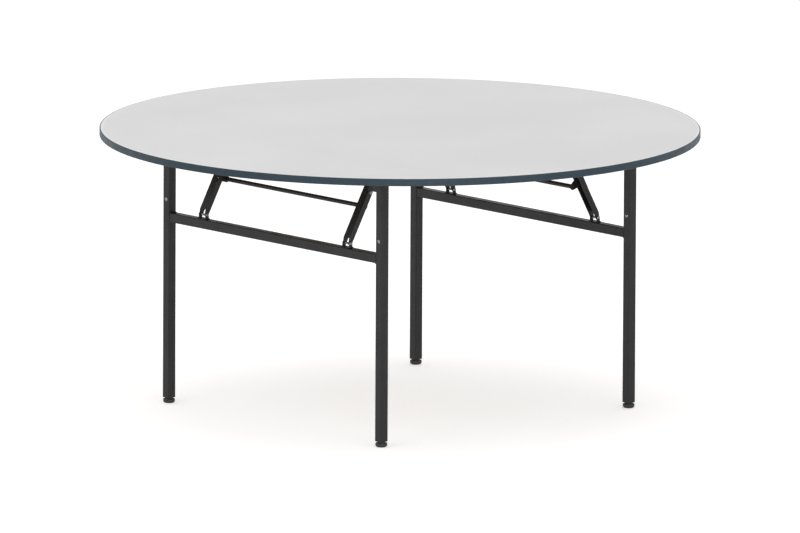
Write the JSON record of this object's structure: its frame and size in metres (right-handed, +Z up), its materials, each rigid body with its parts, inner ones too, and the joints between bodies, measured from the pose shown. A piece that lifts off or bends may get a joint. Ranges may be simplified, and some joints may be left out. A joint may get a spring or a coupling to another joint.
{
  "type": "round folding banquet table",
  "caption": "Round laminated banquet table on two folding leg frames, each held open by a pair of over-centre knee braces joined by a tie rod.",
  "frame": {"origin": "on the floor below the middle of the table top", "axes": "+Z up; X along the crossbars; -Y towards leg frame a, which folds first, +Y towards leg frame b"},
  "size_m": [1.6, 1.5999, 0.75],
  "materials": {
    "laminate": "satin light grey laminate",
    "core": "raw board",
    "backing": "matt brown backing sheet",
    "edge": "satin dark slate band",
    "frame": "satin black powder coat",
    "brackets": "satin black powder coat",
    "pins": "black painted steel",
    "screws": "zinc plated",
    "feet": "moulded black plastic"
  },
  "bodies": {
    "top": {"top_board": "core", "top_laminate": "laminate", "backing_laminate": "backing", "edge_band": "edge", "leg_screws": "screws", "brace_screws": "screws", "leg_bracket_a_left": "brackets", "leg_bracket_a_right": "brackets", "hinge_pins_a": "pins", "brace_bracket_a_left": "brackets", "brace_bracket_a_right": "brackets", "brace_pins_a": "pins", "leg_bracket_b_left": "brackets", "leg_bracket_b_right": "brackets", "hinge_pins_b": "pins", "brace_bracket_b_left": "brackets", "brace_bracket_b_right": "brackets", "brace_pins_b": "pins"},
    "frame_a": {"leg_a_left": "frame", "leg_a_right": "frame", "crossbar_a": "frame", "foot_a_left": "feet", "foot_a_right": "feet", "leg_rivets_a": "pins", "clevis_a_left": "frame", "clevis_a_right": "frame", "clevis_pins_a": "pins"},
    "lower_links_a": {"lower_link_a_left": "frame", "lower_link_a_right": "frame", "tie_rod_a": "frame", "knee_rivets_a": "pins"},
    "upper_links_a": {"upper_link_a_left": "frame", "upper_link_a_right": "frame", "knee_pins_a": "pins"},
    "frame_b": {"leg_b_left": "frame", "leg_b_right": "frame", "crossbar_b": "frame", "foot_b_left": "feet", "foot_b_right": "feet", "leg_rivets_b": "pins", "clevis_b_left": "frame", "clevis_b_right": "frame", "clevis_pins_b": "pins"},
    "lower_links_b": {"lower_link_b_left": "frame", "lower_link_b_right": "frame", "tie_rod_b": "frame", "knee_rivets_b": "pins"},
    "upper_links_b": {"upper_link_b_left": "frame", "upper_link_b_right": "frame", "knee_pins_b": "pins"}
  },
  "joints": [
    {"name": "fold_a", "type": "hinge", "parent": "top", "child": "frame_a", "pos_m": [0, -0.442, 0.7126], "axis": [1, 0, 0], "range_deg": [0, 90]},
    {"name": "lower_brace_a", "type": "hinge", "parent": "frame_a", "child": "lower_links_a", "pos_m": [0, -0.442, 0.5276], "axis": [1, 0, 0], "range_deg": [0, 39.54]},
    {"name": "upper_brace_a", "type": "hinge", "parent": "top", "child": "upper_links_a", "pos_m": [0, -0.346, 0.7156], "axis": [1, 0, 0], "range_deg": [-41.14, 0]},
    {"name": "fold_b", "type": "hinge", "parent": "top", "child": "frame_b", "pos_m": [0, 0.442, 0.6816], "axis": [-1, 0, 0], "range_deg": [0, 90]},
    {"name": "lower_brace_b", "type": "hinge", "parent": "frame_b", "child": "lower_links_b", "pos_m": [0, 0.442, 0.4966], "axis": [-1, 0, 0], "range_deg": [0, 39.54]},
    {"name": "upper_brace_b", "type": "hinge", "parent": "top", "child": "upper_links_b", "pos_m": [0, 0.346, 0.6846], "axis": [-1, 0, 0], "range_deg": [-41.14, 0]}
  ],
  "couplings": [
    {"joint": "lower_brace_a", "follows": "fold_a", "ratio": 0.4393},
    {"joint": "upper_brace_a", "follows": "fold_a", "ratio": -0.4571},
    {"joint": "lower_brace_b", "follows": "fold_b", "ratio": 0.4393},
    {"joint": "upper_brace_b", "follows": "fold_b", "ratio": -0.4571}
  ]
}
